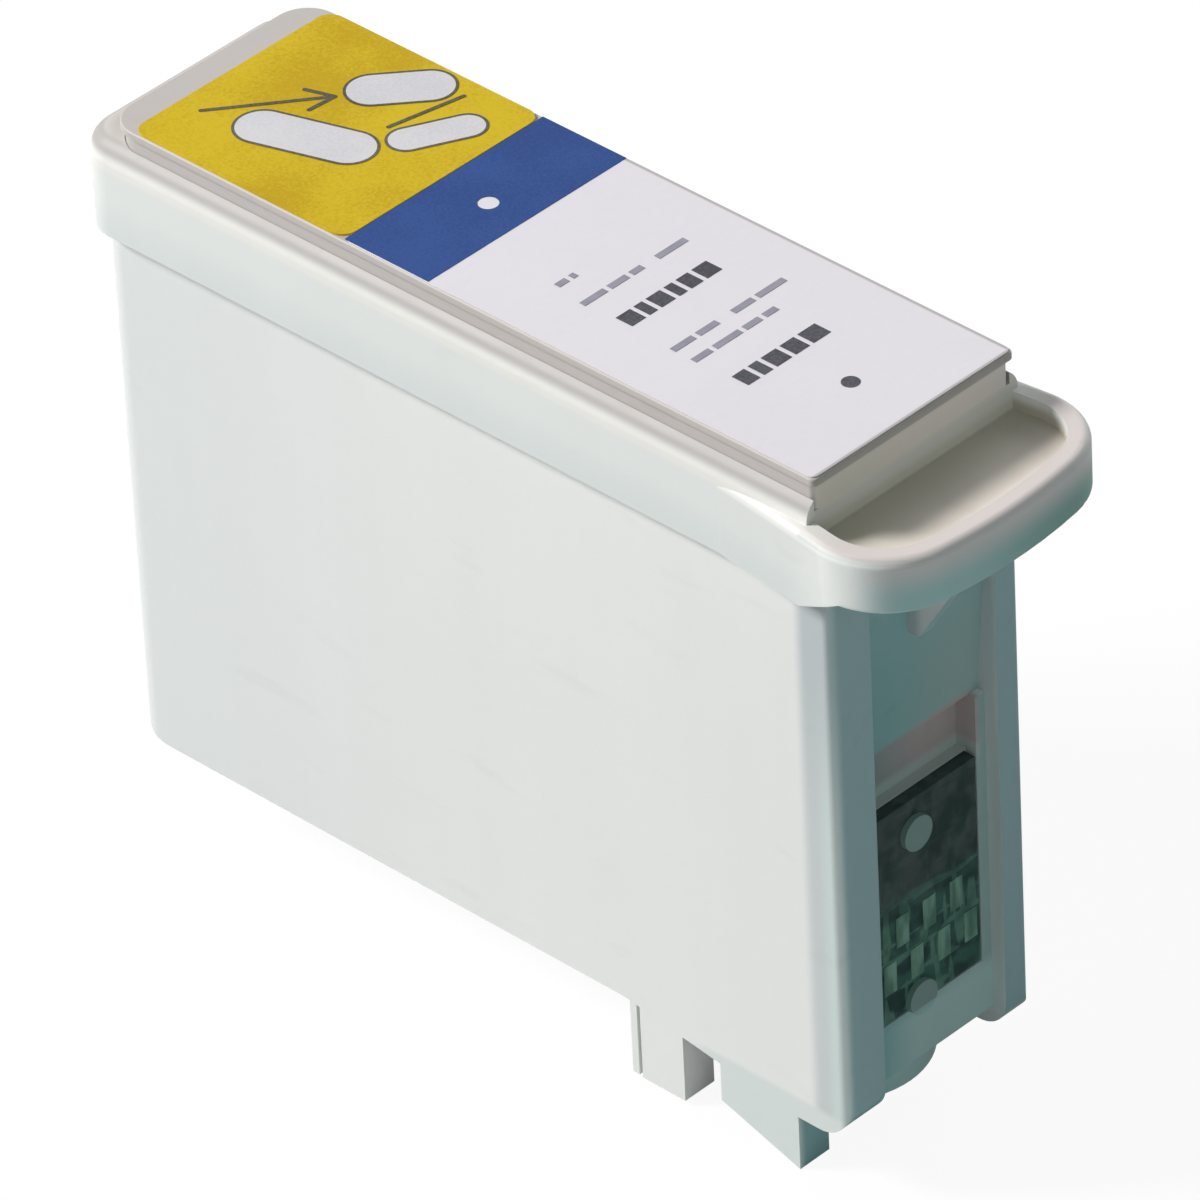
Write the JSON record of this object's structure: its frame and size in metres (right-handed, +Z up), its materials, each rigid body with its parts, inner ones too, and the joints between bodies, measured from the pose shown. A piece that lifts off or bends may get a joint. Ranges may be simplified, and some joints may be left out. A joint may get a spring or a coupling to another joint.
{
  "type": "inkjet ink cartridge",
  "caption": "Narrow foam-filled ink cartridge with a sealed outlet between guide feet, a lifting lip, a contact board on its narrow front and a pull tape over its vent.",
  "frame": {"origin": "under the middle of the whole length and width, at the level of the lowest feet", "axes": "+X along the cartridge from its plain rear end to the lip and contact board, +Y across it, +Z up to the label"},
  "size_m": [0.0772, 0.023, 0.0601],
  "materials": {
    "shell_plastic": "satin off-white moulding",
    "cover_plastic": "satin warm white moulding",
    "foam": "open foam soaked with black ink",
    "filter_mesh": "fine woven mesh",
    "seal_rubber": "soft moulded rubber",
    "clear_film": "thin sealed film",
    "board_laminate": "dark green solder mask",
    "contact_plating": "dulled plating",
    "chip_resin": "cast resin drop",
    "label_stock": "coated paper, cool white",
    "band_ink": "deep blue print",
    "dark_ink": "near-black print",
    "tape_stock": "yellow film tape",
    "pale_ink": "pale grey print"
  },
  "bodies": {
    "root": {"tank": "shell_plastic", "cover": "cover_plastic", "ink_foam": "foam", "outlet_filter": "filter_mesh", "outlet_seal": "seal_rubber", "outlet_film": "clear_film", "vent_film": "clear_film", "chip_board": "board_laminate", "chip_contacts": "contact_plating", "chip_die": "chip_resin", "top_label": "label_stock", "label_band": "band_ink", "label_print": "dark_ink", "pull_tape": "tape_stock", "tape_print_pale": "pale_ink", "tape_print_dark": "dark_ink"}
  },
  "joints": []
}
